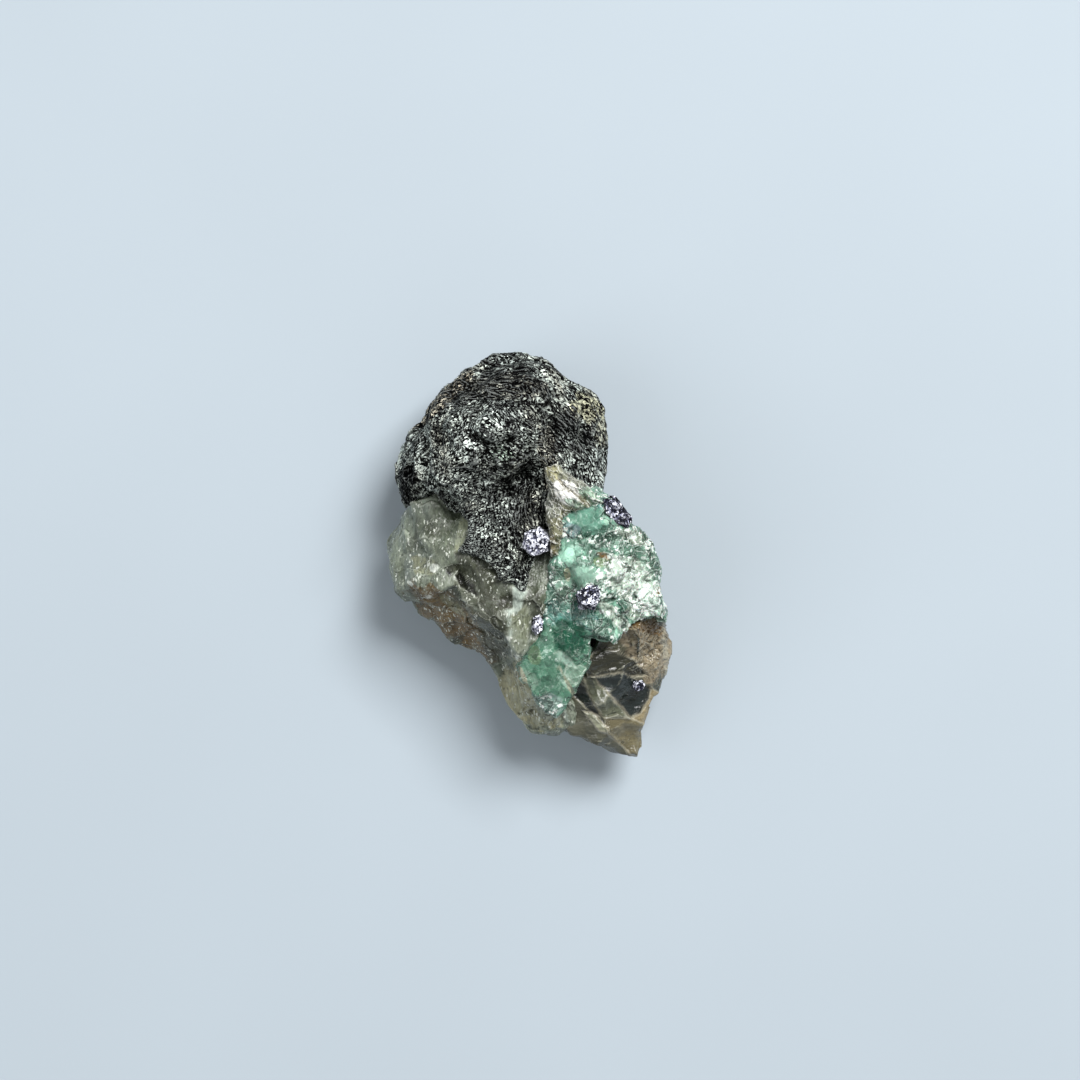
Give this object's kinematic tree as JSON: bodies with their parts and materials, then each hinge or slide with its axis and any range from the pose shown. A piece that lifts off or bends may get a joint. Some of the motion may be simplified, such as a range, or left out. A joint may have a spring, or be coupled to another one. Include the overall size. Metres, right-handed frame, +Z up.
{
  "type": "emerald in matrix",
  "caption": "Rough mineral specimen lying on a flat break: green emerald on grey quartz, capped by black mica schist, with smoky quartz, a feldspar seam and small mica books.",
  "frame": {"origin": "on the flat resting break, under the middle of the stone's bounding box", "axes": "+Z up from the resting break, +Y from the smoky quartz point to the schist cap, +X to the emerald's side"},
  "size_m": [0.0317, 0.0447, 0.0209],
  "materials": {
    "mica_schist": "rough, glittering where the mica flakes catch the light",
    "grey_quartz": "broken, waxy, cloudy",
    "smoky_quartz": "freshly broken, glassy",
    "emerald": "glassy where flat, crushed and granular elsewhere",
    "feldspar": "broken, dull",
    "mica": "pearly, mirror-like on the sheets"
  },
  "bodies": {
    "root": {"mica_schist": "mica_schist", "quartz_mass": "grey_quartz", "smoky_quartz_point": "smoky_quartz", "emerald": "emerald", "feldspar_seam": "feldspar", "mica_book_large": "mica", "mica_book_on_emerald": "mica", "mica_book_on_edge": "mica", "mica_book_small": "mica", "mica_bead_in_point": "mica"}
  },
  "joints": []
}
